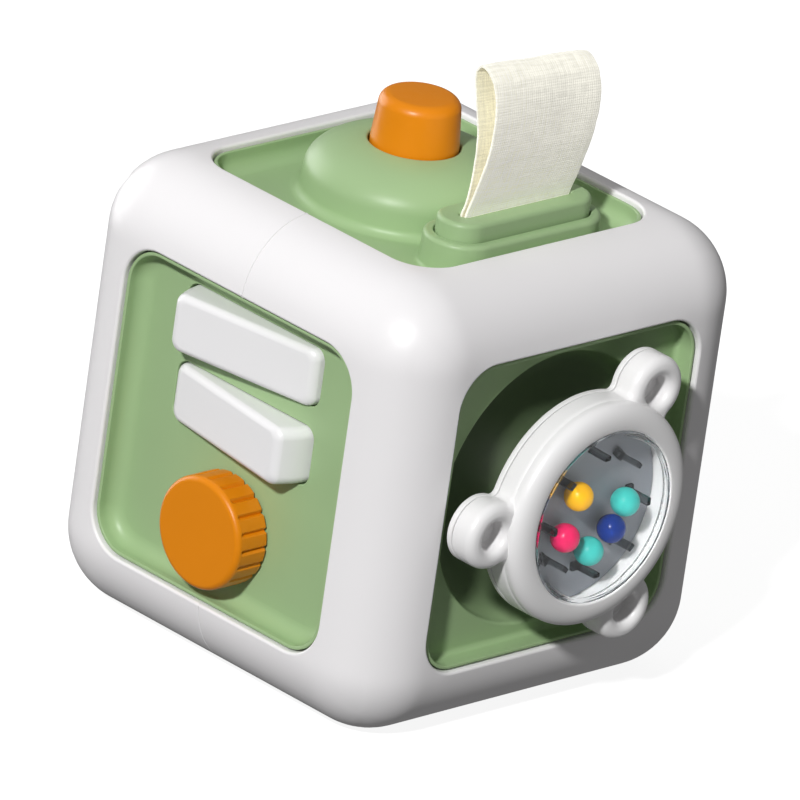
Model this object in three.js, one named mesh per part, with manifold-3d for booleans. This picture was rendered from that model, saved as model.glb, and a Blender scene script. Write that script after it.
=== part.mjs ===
// Baby activity cube: a white two-part frame with six recessed panels. Front: two rocker keys and
// a ratchet knob. Top: a squeaking push button on a dome and a ribbon loop in a stepped bezel.
// Right: a rattle disc that spins on an axle in a round well. Millimetres, +Z up, front is -Y.
import * as THREE from "three";
import { RoundedBoxGeometry } from "three/addons/geometries/RoundedBoxGeometry.js";
import { mergeVertices } from "three/addons/utils/BufferGeometryUtils.js";
import Module from "manifold-3d";

// ---- driving dimensions -------------------------------------------------------------------
const HALF = 55; // half of the cube's side
const EDGE_R = 18.4; // outer edge rounding
const CREST = 0.4; // the frame's crests are trimmed flat by this much, so the cube rests on them
const WALL = 3; // frame wall
const OPEN_HALF = 37.5; // half of a face opening
const OPEN_R = 10; // its corner radius
const GAP = 0.3; // between pieces that touch
const SEAM = 0.3; // between the two frame halves

const PANEL_FLOOR = 49; // distance of a panel's face from the cube's centre
const PANEL_BACK = 46.8;
const PANEL_FLANGE_TOP = 50.8;
const PANEL_RIM_TOP = 54;
const PANEL_FLANGE_HALF = 39.2;
const PANEL_RIM_HALF = OPEN_HALF - 0.4;
const PANEL_TRAY_HALF = 36.2;

const POST_AT = 44.3; // frame screw posts, in y and z
const POST_R = 5.2;
const POST_SHOULDER = -26; // where a frame screw's head sits

const KEY_WINDOW = { half: 22.4, height: 14.6, r: 3 };
const KEY_V = [24.9, 5.9]; // height of the upper and the lower key on the front panel
const KEY_HEIGHT = 13.6;
const KEY_PIVOT = 45; // distance of the keys' axle from the cube's centre
const KEY_END_R = 21.9; // the ends are arcs about the axle, so the gap stays even as a key rocks
const KEY_FACE = 8.8; // from the axle to the key's face
const KEY_BACK = 2.6;
const KEY_TILT = 8.5; // degrees either side of level
const KEY_TAIL = 7;
const AXLE_R = 1.25;

const KNOB_V = -19.4;
const KNOB_R = 13.2;
const KNOB_TOP = PANEL_FLOOR + 9.6;
const KNOB_GROOVES = 20;
const KNOB_SHAFT_R = 3;

const DOME_U = -6.1;
const DOME_R = 24.5;
const DOME_TOP = PANEL_FLOOR + 14.3;
const DOME_WALL = 2.2;
const DOME_SHOULDER = PANEL_FLOOR + 5.4; // where the wall turns into the elliptic shoulder
const DOME_TOP_R = 8.2; // inner end of the shoulder's ellipse
const BUTTON_R = 10.2;
const BUTTON_TOP = 74.6;
const BUTTON_HOLE_R = 10.6;

const BEZEL_U = 27.1;
const BEZEL_LOW = { length: 24.5, width: 9, top: 56.8 };
const BEZEL_HIGH = { length: 21.85, width: 6.3, top: 61 };
const SLOT = { length: 17, width: 1.5 };
const RIBBON_HALF_WIDTH = 16.2;
const RIBBON_T = 0.8;
const RIBBON_ROD_R = 2;
const RIBBON_ROD_W = 41;

const WELL_R = 32.7;
const WELL_FLOOR = 42;
const DISC_R = 27;
const DISC_BACK = 57; // rear plane of the spinning disc
const DISC_SPLIT = 63.1; // groove between body and front ring
const DISC_FRONT = 68;
const DISC_WINDOW_R = 20.85;
const EAR_AT = 30.8;
const EAR_R = 8;
const EAR_TOP = 65;
const EAR_ANGLES = [60, 180, 300];
const SPIN_AXLE_R = 2.5;
const BEAD_R = 3.35;
const BEAD_W = 63.45;
// where the beads lie: angle and distance from the disc's axis
const BEADS = {
  bead_yellow: { angle: 136, at: 6.65, color: 0xedc542 },
  bead_pink: { angle: 214.4, at: 8.85, color: 0xf0357f },
  bead_teal_1: { angle: 276.3, at: 9.95, color: 0x5fd6cd },
  bead_blue: { angle: 322.5, at: 9.3, color: 0x1c4596 },
  bead_teal_2: { angle: 1.5, at: 10.6, color: 0x5fd6cd },
};

// The base's centre is the origin: the bounding box is centred in x and y on these extremes.
const WINDOW_CROWN = 68.6;
const OFFSET = new THREE.Vector3((HALF - WINDOW_CROWN) / 2, (KNOB_TOP - HALF) / 2, HALF);

// ---- materials ----------------------------------------------------------------------------
const finish = (color, roughness, metalness = 0) => ({ color, roughness, metalness });
const WHITE = finish(0xf1f0f1, 0.35);
const GREEN = finish(0x9cb58b, 0.42);
const ORANGE = finish(0xe1891b, 0.35);
const CREAM = finish(0xe8e5d6, 0.9);
const CLEAR = finish(0xf4f8fa, 0.05);
const STEEL = finish(0xb9bcc0, 0.3, 1);
const NATURAL = finish(0xdcdcd4, 0.5);
const RUBBER = finish(0x55565a, 0.8);

// ---- solids -------------------------------------------------------------------------------
const wasm = await Module();
wasm.setup();

const rad = THREE.MathUtils.degToRad;

function solid(geometry) {
  const g = geometry.index ? geometry : geometry.clone();
  g.deleteAttribute("normal");
  g.deleteAttribute("uv");
  const merged = mergeVertices(g, 1e-4);
  return new wasm.Manifold(
    new wasm.Mesh({
      numProp: 3,
      vertProperties: merged.attributes.position.array,
      triVerts: new Uint32Array(merged.index.array),
    }),
  );
}

function piece(name, shape, material) {
  const m = shape.getMesh();
  const g = new THREE.BufferGeometry();
  g.setAttribute("position", new THREE.BufferAttribute(new Float32Array(m.vertProperties), 3));
  g.setIndex(new THREE.BufferAttribute(new Uint32Array(m.triVerts), 1));
  g.computeVertexNormals();
  const mesh = new THREE.Mesh(g, new THREE.MeshStandardMaterial(material));
  mesh.name = name;
  return mesh;
}

const join = (...shapes) => shapes.reduce((a, b) => a.add(b));
const cut = (shape, ...tools) => tools.reduce((a, b) => a.subtract(b), shape);

// A box between two corners.
function block(u0, u1, v0, v1, w0, w1) {
  const g = new THREE.BoxGeometry(u1 - u0, v1 - v0, w1 - w0);
  return solid(g.translate((u0 + u1) / 2, (v0 + v1) / 2, (w0 + w1) / 2));
}

// A round bar along w from w0 to w1, centred on (u, v).
function bar(r, w0, w1, u = 0, v = 0, sides = 18, rTop = r) {
  const g = new THREE.CylinderGeometry(rTop, r, w1 - w0, sides);
  return solid(g.rotateX(Math.PI / 2).translate(u, v, (w0 + w1) / 2));
}

// The same bar along v.
function crossBar(r, v0, v1, u, w, sides = 20) {
  const g = new THREE.CylinderGeometry(r, r, v1 - v0, sides);
  return solid(g.translate(u, (v0 + v1) / 2, w));
}

// A solid of revolution about w; the profile is a list of [radius, w] from the lowest w up.
function turned(profile, segments = 32) {
  const g = new THREE.LatheGeometry(profile.map(([r, w]) => new THREE.Vector2(r, w)), segments);
  return solid(g.rotateX(Math.PI / 2));
}

const arc = (cx, cy, rx, ry, from, to, steps) =>
  Array.from({ length: steps + 1 }, (_, i) => {
    const a = rad(from + ((to - from) * i) / steps);
    return [cx + rx * Math.cos(a), cy + ry * Math.sin(a)];
  });

function extrude(shape, w0, w1, curveSegments = 5) {
  const g = new THREE.ExtrudeGeometry(shape, { depth: w1 - w0, bevelEnabled: false, curveSegments });
  return solid(g.translate(0, 0, w0));
}

function roundedRect(halfU, halfV, r, u = 0, v = 0) {
  const s = new THREE.Shape();
  s.moveTo(u - halfU + r, v - halfV);
  s.lineTo(u + halfU - r, v - halfV);
  s.absarc(u + halfU - r, v - halfV + r, r, -Math.PI / 2, 0);
  s.lineTo(u + halfU, v + halfV - r);
  s.absarc(u + halfU - r, v + halfV - r, r, 0, Math.PI / 2);
  s.lineTo(u - halfU + r, v + halfV);
  s.absarc(u - halfU + r, v + halfV - r, r, Math.PI / 2, Math.PI);
  s.lineTo(u - halfU, v - halfV + r);
  s.absarc(u - halfU + r, v - halfV + r, r, Math.PI, 1.5 * Math.PI);
  return s;
}

const stadium = (halfV, halfU, u) => roundedRect(halfU, halfV, halfU - 0.001, u, 0);

const outline = (points) => new THREE.Shape(points.map(([x, y]) => new THREE.Vector2(x, y)));

// A pan-head screw pointing down w: the head's underside is at w, its shank goes down from there.
function screw(w, length, r, headR, headH, u = 0, v = 0) {
  const head = bar(headR, w, w + headH, u, v, 12, headR * 0.8);
  const slot = block(u - headR, u + headR, v - 0.3, v + 0.3, w + headH - 0.6, w + headH + 1);
  return join(cut(head, slot), bar(r, w - length, w + 0.2, u, v, 8));
}

// ---- faces: each is a group whose local +z is the face's outward normal ---------------------
const cube = new THREE.Group();
cube.position.copy(OFFSET);

function face(right, up, out) {
  const g = new THREE.Group();
  g.applyMatrix4(new THREE.Matrix4().makeBasis(right, up, out));
  cube.add(g);
  return g;
}
const X = new THREE.Vector3(1, 0, 0);
const Y = new THREE.Vector3(0, 1, 0);
const Z = new THREE.Vector3(0, 0, 1);
const minus = (v) => v.clone().negate();
const front = face(X, Z, minus(Y));
const back = face(minus(X), Z, Y);
const left = face(minus(Y), Z, minus(X));
const right = face(Y, Z, X);
const top = face(X, Y, Z);
const bottom = face(X, minus(Y), minus(Z));

// ---- frame halves -------------------------------------------------------------------------
function frameHalves() {
  const outerSide = 2 * (HALF + CREST);
  const outer = solid(new RoundedBoxGeometry(outerSide, outerSide, outerSide, 3, EDGE_R + CREST));
  const innerSide = 2 * (HALF - WALL);
  const inner = solid(new RoundedBoxGeometry(innerSide, innerSide, innerSide, 2, EDGE_R - WALL));
  const opening = extrude(roundedRect(OPEN_HALF, OPEN_HALF, OPEN_R), -HALF - 5, HALF + 5);
  const openings = join(opening, opening.rotate([90, 0, 0]), opening.rotate([0, 90, 0]));
  const shell = cut(outer.intersect(block(-HALF, HALF, -HALF, HALF, -HALF, HALF)), inner, openings);

  const posts = [];
  const deepHoles = [];
  const shankHoles = [];
  const pilotHoles = [];
  const screws = [];
  for (const [v, w] of [[-1, -1], [1, -1], [-1, 1], [1, 1]].map((s) => s.map((k) => k * POST_AT))) {
    // bars are made along z and turned to lie along x: local (u, v) becomes (z, y)
    const along = (shape) => shape.rotate([0, 90, 0]);
    posts.push(along(bar(POST_R, -49, 49, -w, v, 20)));
    deepHoles.push(along(bar(3, -HALF - 3, POST_SHOULDER, -w, v, 20)));
    shankHoles.push(along(bar(1.9, POST_SHOULDER - 1, 0, -w, v, 16)));
    pilotHoles.push(along(bar(1.8, -1, 14, -w, v, 16)));
    screws.push(along(screw(POST_SHOULDER + GAP, 0, 0, 2.8, 2.2).mirror([0, 0, 1])));
  }
  const solidFrame = join(shell, ...posts.map((p) => p.intersect(outer)));
  const leftSide = block(-HALF - 1, -SEAM / 2, -HALF - 1, HALF + 1, -HALF - 1, HALF + 1);
  const rightSide = block(SEAM / 2, HALF + 1, -HALF - 1, HALF + 1, -HALF - 1, HALF + 1);
  const leftHalf = cut(solidFrame.intersect(leftSide), ...deepHoles, ...shankHoles);
  cube.add(piece("frame_left_half", leftHalf, WHITE));
  cube.add(piece("frame_right_half", cut(solidFrame.intersect(rightSide), ...pilotHoles), WHITE));
}

// The long screws that pull the halves together, entered from the left.
function frameScrews() {
  let n = 0;
  for (const v of [-POST_AT, POST_AT]) {
    for (const w of [-POST_AT, POST_AT]) {
      n += 1;
      // built on the left face, whose local +z points out of the cube's left side
      const shape = screw(-POST_SHOULDER + GAP, 38, 1.5, 2.8, 2.2, v, w);
      left.add(piece("frame_screw_" + n, shape, STEEL));
    }
  }
}

// ---- panels -------------------------------------------------------------------------------
// A tray with a flat floor, a rim that stands in the opening and a flange behind the frame.
function panelBlank() {
  const flange = extrude(
    roundedRect(PANEL_FLANGE_HALF, PANEL_FLANGE_HALF, OPEN_R + 1.5), PANEL_BACK, PANEL_FLANGE_TOP, 3,
  );
  const rim = extrude(
    roundedRect(PANEL_RIM_HALF, PANEL_RIM_HALF, OPEN_R - 0.4), PANEL_BACK + 1, PANEL_RIM_TOP, 3,
  );
  const tray = extrude(
    roundedRect(PANEL_TRAY_HALF, PANEL_TRAY_HALF, OPEN_R - 1.6), PANEL_FLOOR, PANEL_RIM_TOP + 1, 3,
  );
  return cut(join(flange, rim), tray);
}

// ---- front: rocker keys and knob ------------------------------------------------------------
function frontFace() {
  const windows = KEY_V.map((v) =>
    extrude(roundedRect(KEY_WINDOW.half, KEY_WINDOW.height / 2, KEY_WINDOW.r, 0, v), 40, 55, 3),
  );
  const earAt = [-3.1, (KEY_V[0] + KEY_V[1]) / 2, 33.9];
  const ears = earAt.map((v) => block(-3, 3, v - 1.3, v + 1.3, KEY_PIVOT - 2.8, PANEL_BACK + 0.5));
  const axleHole = join(
    crossBar(AXLE_R + GAP, -10, 40, 0, KEY_PIVOT),
    crossBar(2.8, 35.2, 36.8, 0, KEY_PIVOT),
    crossBar(2.8, -7, -4.4, 0, KEY_PIVOT),
  );
  const bosses = [-17, 17].map((u) => bar(1.9, 38, PANEL_BACK + 0.5, u, earAt[1], 16));
  const bossHoles = [-17, 17].map((u) => bar(1.15, 37, 44, u, earAt[1], 12));
  const knobHole = bar(5.2, 40, 55, 0, KNOB_V, 20);
  const pawlBoss = bar(1.9, 43.4, PANEL_BACK + 0.5, 13, KNOB_V, 16);
  const pawlHole = bar(1.15, 42, 46.8, 13, KNOB_V, 12);
  const panel = join(panelBlank(), ...ears, ...bosses, pawlBoss);
  front.add(
    piece("front_panel", cut(panel, ...windows, axleHole, ...bossHoles, knobHole, pawlHole), GREEN),
  );

  // the axle with its head, and the push-on ring that holds it
  const axle = join(
    crossBar(AXLE_R, -6.6, 35.6, 0, KEY_PIVOT, 16),
    crossBar(AXLE_R + 0.9, 35.5, 36.4, 0, KEY_PIVOT, 16),
  );
  front.add(piece("key_axle", axle, STEEL));
  const ring = cut(
    crossBar(AXLE_R + 1.2, -6.2, -4.8, 0, KEY_PIVOT, 16),
    crossBar(AXLE_R + GAP, -7, -4, 0, KEY_PIVOT, 16),
  );
  front.add(piece("key_axle_ring", ring, STEEL));

  // click spring: a cross of sheet steel behind the keys' tails
  const spring = cut(
    join(
      block(-20, 20, earAt[1] - 2.4, earAt[1] + 2.4, 37, 37.6),
      block(-2.6, 2.6, 3, 28, 37, 37.6),
    ),
    ...[-17, 17].map((u) => bar(1.5, 36, 39, u, earAt[1], 12)),
  );
  front.add(piece("key_click_spring", spring, STEEL));
  [-17, 17].forEach((u, i) => {
    const s = screw(0, 5, 0.85, 1.9, 1.2).mirror([0, 0, 1]).translate([u, earAt[1], 36.7]);
    front.add(piece("click_spring_screw_" + (i + 1), s, STEEL));
  });

  // upper key: left end out; lower key: right end out
  front.add(rockerKey("upper_key", KEY_V[0], -KEY_TILT));
  front.add(rockerKey("lower_key", KEY_V[1], KEY_TILT));

  knobParts();
}

// A key is made level, as a rounded disc about its axle cut to the face and the back, and then
// tilted. Local x is the panel's u, local y is w and local z is the panel's -v.
function rockerKey(name, v, tilt) {
  const half = KEY_HEIGHT / 2;
  const corner = 2.6;
  const disc = turned([
    [0, -half],
    ...arc(KEY_END_R - corner, corner - half, corner, corner, -90, 0, 3),
    ...arc(KEY_END_R - corner, half - corner, corner, corner, 0, 90, 3),
    [0, half],
  ], 72);
  const bevel = 1;
  const faceHalf = Math.sqrt(KEY_END_R ** 2 - KEY_FACE ** 2);
  const section = extrude(outline([
    [-KEY_END_R, -KEY_BACK],
    [KEY_END_R, -KEY_BACK],
    [KEY_END_R, KEY_FACE - 3],
    [faceHalf + 0.4, KEY_FACE - bevel],
    [faceHalf - bevel, KEY_FACE],
    [bevel - faceHalf, KEY_FACE],
    [-faceHalf - 0.4, KEY_FACE - bevel],
    [-KEY_END_R, KEY_FACE - 3],
  ]), -half, half);
  const sides = extrude(outline([
    [-half, -KEY_BACK],
    [half, -KEY_BACK],
    [half, KEY_FACE - bevel],
    [half - bevel, KEY_FACE],
    [bevel - half, KEY_FACE],
    [-half, KEY_FACE - bevel],
  ]), -KEY_END_R, KEY_END_R).rotate([0, 90, 0]);
  const wall = 1.8;
  const hollow = (x0, x1) =>
    block(x0, x1, -KEY_BACK - 1, KEY_FACE - wall - 0.4, wall - half, half - wall);
  const tail = block(-1.2, 1.2, -KEY_TAIL, -KEY_BACK + 0.5, -3, 3);
  const shape = cut(
    join(disc.intersect(section).intersect(sides), tail),
    hollow(-18, -4),
    hollow(4, 18),
    bar(AXLE_R + GAP, -20, 20, 0, 0, 16),
  );
  const key = piece(name, shape.rotate([0, 0, tilt]).rotate([90, 0, 0]), WHITE);
  key.position.set(0, v, KEY_PIVOT);
  return key;
}

function knobParts() {
  const knobBase = PANEL_FLOOR + 0.4;
  const fillet = 2;
  const profile = [
    [0, knobBase],
    [KNOB_R, knobBase],
    [KNOB_R, KNOB_TOP - fillet],
    ...arc(KNOB_R - fillet, KNOB_TOP - fillet, fillet, fillet, 0, 90, 4).slice(1),
    [0, KNOB_TOP],
  ];
  const blank = turned(profile, 40).translate([0, KNOB_V, 0]);
  const groove = outline([[-0.75, 0.6], [0, -0.7], [0.75, 0.6]]);
  const grooves = Array.from({ length: KNOB_GROOVES }, (_, i) =>
    extrude(groove, knobBase - 1, KNOB_TOP - 1.2)
      .translate([0, KNOB_R, 0])
      .rotate([0, 0, (360 * i) / KNOB_GROOVES])
      .translate([0, KNOB_V, 0]),
  );
  const hollow = cut(
    bar(KNOB_R - 2.4, knobBase - 1, KNOB_TOP - 2.2, 0, KNOB_V, 24),
    bar(KNOB_SHAFT_R + 2.2, knobBase - 2, KNOB_TOP, 0, KNOB_V, 18),
  );
  const bore = flattedBar(KNOB_SHAFT_R + GAP, knobBase - 1, KNOB_TOP - 3);
  front.add(piece("knob", cut(blank, ...grooves, hollow, bore), ORANGE));

  // shaft with a flat, turning in a flanged bush
  const shaft = cut(
    join(
      bar(KNOB_SHAFT_R, 43.6, 49.1, 0, KNOB_V, 18),
      flattedBar(KNOB_SHAFT_R, 49, KNOB_TOP - 3.3),
      flattedBar(KNOB_SHAFT_R, 40.9, 43.7),
    ),
    bar(1.4, 38, 45, 0, KNOB_V, 14),
  );
  front.add(piece("knob_shaft", shaft, NATURAL));
  const bush = cut(
    join(bar(4.9, 44.2, PANEL_FLOOR, 0, KNOB_V, 18), bar(7, 44.2, PANEL_BACK - GAP, 0, KNOB_V, 20)),
    bar(KNOB_SHAFT_R + GAP, 40, 52, 0, KNOB_V, 18),
  );
  front.add(piece("knob_bush", bush, NATURAL));

  // ratchet wheel on the shaft, its leaf pawl beside it, and the screw that holds the knob
  const teeth = [];
  for (let i = 0; i < KNOB_GROOVES; i += 1) {
    for (const [share, r] of [[0, 6.4], [0.5, 7.6]]) {
      const a = (2 * Math.PI * (i + share)) / KNOB_GROOVES;
      teeth.push([r * Math.cos(a), r * Math.sin(a)]);
    }
  }
  const wheel = cut(
    extrude(outline(teeth), 40.6, 43.6).translate([0, KNOB_V, 0]),
    flattedBar(KNOB_SHAFT_R + GAP, 39, 45),
  );
  front.add(piece("ratchet_wheel", wheel, NATURAL));
  const pawl = cut(
    join(
      block(8.1, 8.7, KNOB_V - 4, KNOB_V + 4, 40.9, 43.1),
      block(8.1, 15, KNOB_V - 2, KNOB_V + 2, 42.5, 43.1),
    ),
    bar(1.5, 41, 45, 13, KNOB_V, 12),
  );
  front.add(piece("ratchet_pawl_spring", pawl, STEEL));
  const pawlScrew = screw(0, 3.6, 0.85, 1.7, 1.2).mirror([0, 0, 1]).translate([13, KNOB_V, 42.2]);
  front.add(piece("pawl_spring_screw", pawlScrew, STEEL));
  const washer = cut(bar(5, 39.7, 40.3, 0, KNOB_V, 18), bar(1.6, 39, 41, 0, KNOB_V, 14));
  front.add(piece("knob_washer", washer, STEEL));
  const knobScrew = screw(0, 4.5, 1.1, 2.6, 1.6).mirror([0, 0, 1]).translate([0, KNOB_V, 39.4]);
  front.add(piece("knob_screw", knobScrew, STEEL));
}

// The knob shaft's D section, or its bore.
function flattedBar(r, w0, w1) {
  return cut(bar(r, w0, w1, 0, KNOB_V, 18), block(-r, r, KNOB_V + r - 0.8, KNOB_V + r + 1, w0, w1));
}

// ---- top: button on a dome, ribbon in a stepped bezel ---------------------------------------
function topFace() {
  const shoulderWide = DOME_R - 0.3 - DOME_TOP_R;
  const hollowTop = DOME_TOP - DOME_WALL;
  const domeOuter = [
    [0, PANEL_BACK + 0.2],
    [DOME_R + 1.8, PANEL_BACK + 0.2],
    [DOME_R + 1.8, PANEL_FLOOR + 0.1],
    [DOME_R + 0.4, PANEL_FLOOR + 0.9],
    [DOME_R, PANEL_FLOOR + 2.6],
    ...arc(DOME_TOP_R, DOME_SHOULDER, shoulderWide, DOME_TOP - DOME_SHOULDER, 0, 80, 6),
    [BUTTON_HOLE_R, DOME_TOP - 0.1],
    [0, DOME_TOP],
  ];
  const domeInner = [
    [0, PANEL_BACK - 1],
    [DOME_R - DOME_WALL, PANEL_BACK - 1],
    [DOME_R - DOME_WALL, PANEL_FLOOR + 5],
    ...arc(DOME_TOP_R, DOME_SHOULDER, shoulderWide - DOME_WALL, hollowTop - DOME_SHOULDER, 0, 80, 5),
    [0, hollowTop],
  ];
  const dome = turned(domeOuter).translate([DOME_U, 0, 0]);
  const domeHollow = turned(domeInner).translate([DOME_U, 0, 0]);
  const lowOutline = stadium(BEZEL_LOW.length, BEZEL_LOW.width, BEZEL_U);
  const lowStep = extrude(lowOutline, PANEL_BACK, BEZEL_LOW.top, 5);
  const bezelHole = extrude(
    stadium(BEZEL_HIGH.length + GAP, BEZEL_HIGH.width + GAP, BEZEL_U), PANEL_BACK - 1, BEZEL_LOW.top + 1, 5,
  );
  const bezelScrewAt = [-26.7, 26.7];
  const pilots = bezelScrewAt.map((v) => bar(1.4, PANEL_BACK - 1, 48.3, BEZEL_U, v, 12));
  const plateScrewR = 29.2;
  const plateScrewAt = [100, 180, 260].map((a) => [
    DOME_U + plateScrewR * Math.cos(rad(a)),
    plateScrewR * Math.sin(rad(a)),
  ]);
  const platePilots = plateScrewAt.map(([u, v]) => bar(1.4, PANEL_BACK - 1, 48.3, u, v, 12));
  const panel = cut(
    join(panelBlank(), dome, lowStep),
    domeHollow.subtract(lowStep),
    bar(BUTTON_HOLE_R, PANEL_FLOOR + 8, DOME_TOP + 3, DOME_U, 0, 32),
    bezelHole,
    ...pilots,
    ...platePilots,
  );
  top.add(piece("top_panel", panel, GREEN));

  // push button with its skirt flange and the pusher over the bellows
  const fillet = 2.8;
  const topR = BUTTON_R - 0.9;
  const outer = turned([
    [0, 58.7],
    [BUTTON_R + 1.9, 58.7],
    [BUTTON_R + 1.9, 60],
    [BUTTON_R, 60],
    [BUTTON_R, DOME_TOP],
    [topR, BUTTON_TOP - fillet],
    ...arc(topR - fillet, BUTTON_TOP - fillet, fillet, fillet, 0, 90, 4).slice(1),
    [0, BUTTON_TOP],
  ]);
  const inner = cut(bar(BUTTON_R - 2.2, 50, BUTTON_TOP - 2.6, 0, 0, 24), bar(4, 40, BUTTON_TOP, 0, 0, 18));
  const pusher = bar(4, 58.7, BUTTON_TOP - 1, 0, 0, 18);
  top.add(piece("push_button", join(cut(outer, inner), pusher).translate([DOME_U, 0, 0]), ORANGE));

  // squeaker: bellows on a plate, its reed in the middle, the return spring round it
  const folds = [];
  const foldCount = 4;
  const bellowsLow = 46.7;
  const bellowsHigh = 58.5;
  const foldH = (bellowsHigh - bellowsLow) / foldCount;
  for (let i = 0; i < foldCount; i += 1) {
    folds.push([6.4, bellowsLow + foldH * i], [8, bellowsLow + foldH * (i + 0.5)]);
  }
  const bellows = turned([[0, bellowsLow], ...folds, [6.4, bellowsHigh], [0, bellowsHigh]], 20);
  top.add(piece("squeaker_bellows", bellows.translate([DOME_U, 0, 0]), RUBBER));
  top.add(piece("button_spring", coil(10.4, 0.5, 46.95, 58.35, 4.5).translate([DOME_U, 0, 0]), STEEL));
  const plateDisc = bar(26.6, 44.2, PANEL_BACK - GAP, DOME_U, 0, 32);
  const plateEars = plateScrewAt.map(([u, v]) => bar(3.4, 44.2, PANEL_BACK - GAP, u, v, 16));
  const plate = cut(
    join(plateDisc, ...plateEars),
    block(BEZEL_U - 9.2, 60, -40, 40, 40, 50),
    bar(3.3, 40, 50, DOME_U, 0, 20),
    ...plateScrewAt.map(([u, v]) => bar(1.5, 40, 50, u, v, 12)),
  );
  top.add(piece("squeaker_plate", plate, NATURAL));
  const reed = cut(bar(3, 43.2, 46.4, DOME_U, 0, 20), block(DOME_U - 0.4, DOME_U + 0.4, -2, 2, 43, 45));
  top.add(piece("squeaker_reed", reed, NATURAL));
  plateScrewAt.forEach(([u, v], i) => {
    const s = screw(0, 3.6, 1, 2, 1.3).mirror([0, 0, 1]).translate([u, v, 43.9]);
    top.add(piece("squeaker_plate_screw_" + (i + 1), s, STEEL));
  });

  // upper step of the bezel, with the slot, its flange and the two lugs that carry the rod
  const flange = extrude(roundedRect(8, 29.3, 7, BEZEL_U, 0), 43.9, PANEL_BACK - GAP, 4);
  const lugs = [-1, 1].map((s) =>
    block(BEZEL_U - 3, BEZEL_U + 3, s * 19 - 1.6, s * 19 + 1.6, RIBBON_ROD_W - 3, 44.2));
  const slot = extrude(stadium(SLOT.length, SLOT.width, BEZEL_U), 40, 70, 3);
  const bezel = cut(
    join(
      extrude(stadium(BEZEL_HIGH.length, BEZEL_HIGH.width, BEZEL_U), 44, BEZEL_HIGH.top, 5),
      flange,
      ...lugs,
    ),
    slot,
    crossBar(RIBBON_ROD_R + GAP, -40, 40, BEZEL_U, RIBBON_ROD_W, 16),
    ...bezelScrewAt.map((v) => bar(1.4, 40, 50, BEZEL_U, v, 12)),
  );
  top.add(piece("ribbon_bezel", bezel, GREEN));
  bezelScrewAt.forEach((v, i) => {
    const s = screw(0, 3.6, 1, 2, 1.3).mirror([0, 0, 1]).translate([BEZEL_U, v, 43.6]);
    top.add(piece("bezel_screw_" + (i + 1), s, STEEL));
  });
  top.add(piece("ribbon_rod", crossBar(RIBBON_ROD_R, -20.6, 20.6, BEZEL_U, RIBBON_ROD_W, 16), STEEL));
  top.add(piece("ribbon_loop", ribbon(), CREAM));
}

// A round-wire helical spring with its axis along w.
function coil(r, wire, low, high, turns) {
  class Helix extends THREE.Curve {
    getPoint(t, target = new THREE.Vector3()) {
      const a = 2 * Math.PI * turns * t;
      return target.set(r * Math.cos(a), r * Math.sin(a), low + wire + (high - low - 2 * wire) * t);
    }
  }
  const section = new THREE.Shape();
  section.absarc(0, 0, wire, 0, 2 * Math.PI);
  const g = new THREE.ExtrudeGeometry(section, {
    steps: Math.round(turns * 12), curveSegments: 2, bevelEnabled: false, extrudePath: new Helix(),
  });
  return solid(g);
}

// The ribbon is one endless band: up through the slot, over in a small fold and back, and round
// the rod below. The two lists are the band's middle line on its left and right, from the neck up.
const RIBBON_LEFT = [
  [-0.65, 55], [-0.6, 60.5], [0.3, 63.7], [1.1, 69], [1.4, 77],
  [0.7, 82.4], [-0.7, 87], [-2, 92], [-2.3, 95],
];
const RIBBON_RIGHT = [
  [0.65, 55], [0.7, 60.5], [2.5, 66.7], [4.2, 72.8], [5.3, 78], [5.6, 84], [5.1, 89.8], [3.7, 94],
];
function ribbon() {
  const curve = (points) =>
    new THREE.SplineCurve(points.map(([u, w]) => new THREE.Vector2(u, w))).getPoints(22);
  const leftSide = curve(RIBBON_LEFT);
  const rightSide = curve(RIBBON_RIGHT);
  const fold = new THREE.SplineCurve(
    [leftSide.at(-1), new THREE.Vector2(-1, 96.6), new THREE.Vector2(1.3, 96.3), rightSide.at(-1)],
  ).getPoints(8).slice(1, -1);
  const rodLoop = arc(0, RIBBON_ROD_W, 2.85, 2.85, 75, -255, 16).map(([u, w]) => new THREE.Vector2(u, w));
  const line = [...leftSide, ...fold, ...rightSide.reverse(), ...rodLoop];
  const side = (sign) =>
    line.map((p, i) => {
      const before = line.at(i - 1);
      const after = line[(i + 1) % line.length];
      const d = after.clone().sub(before).normalize();
      return [BEZEL_U + p.x - sign * d.y * (RIBBON_T / 2), p.y + sign * d.x * (RIBBON_T / 2)];
    });
  // the section lies in (u, w) and is swept along v
  const band = extrude(outline(side(1)), -RIBBON_HALF_WIDTH, RIBBON_HALF_WIDTH);
  const loop = extrude(outline(side(-1)), -RIBBON_HALF_WIDTH - 1, RIBBON_HALF_WIDTH + 1);
  return band.subtract(loop).rotate([90, 0, 0]);
}

// ---- right: the rattle disc and its well ----------------------------------------------------
const disc = new THREE.Group();

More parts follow.
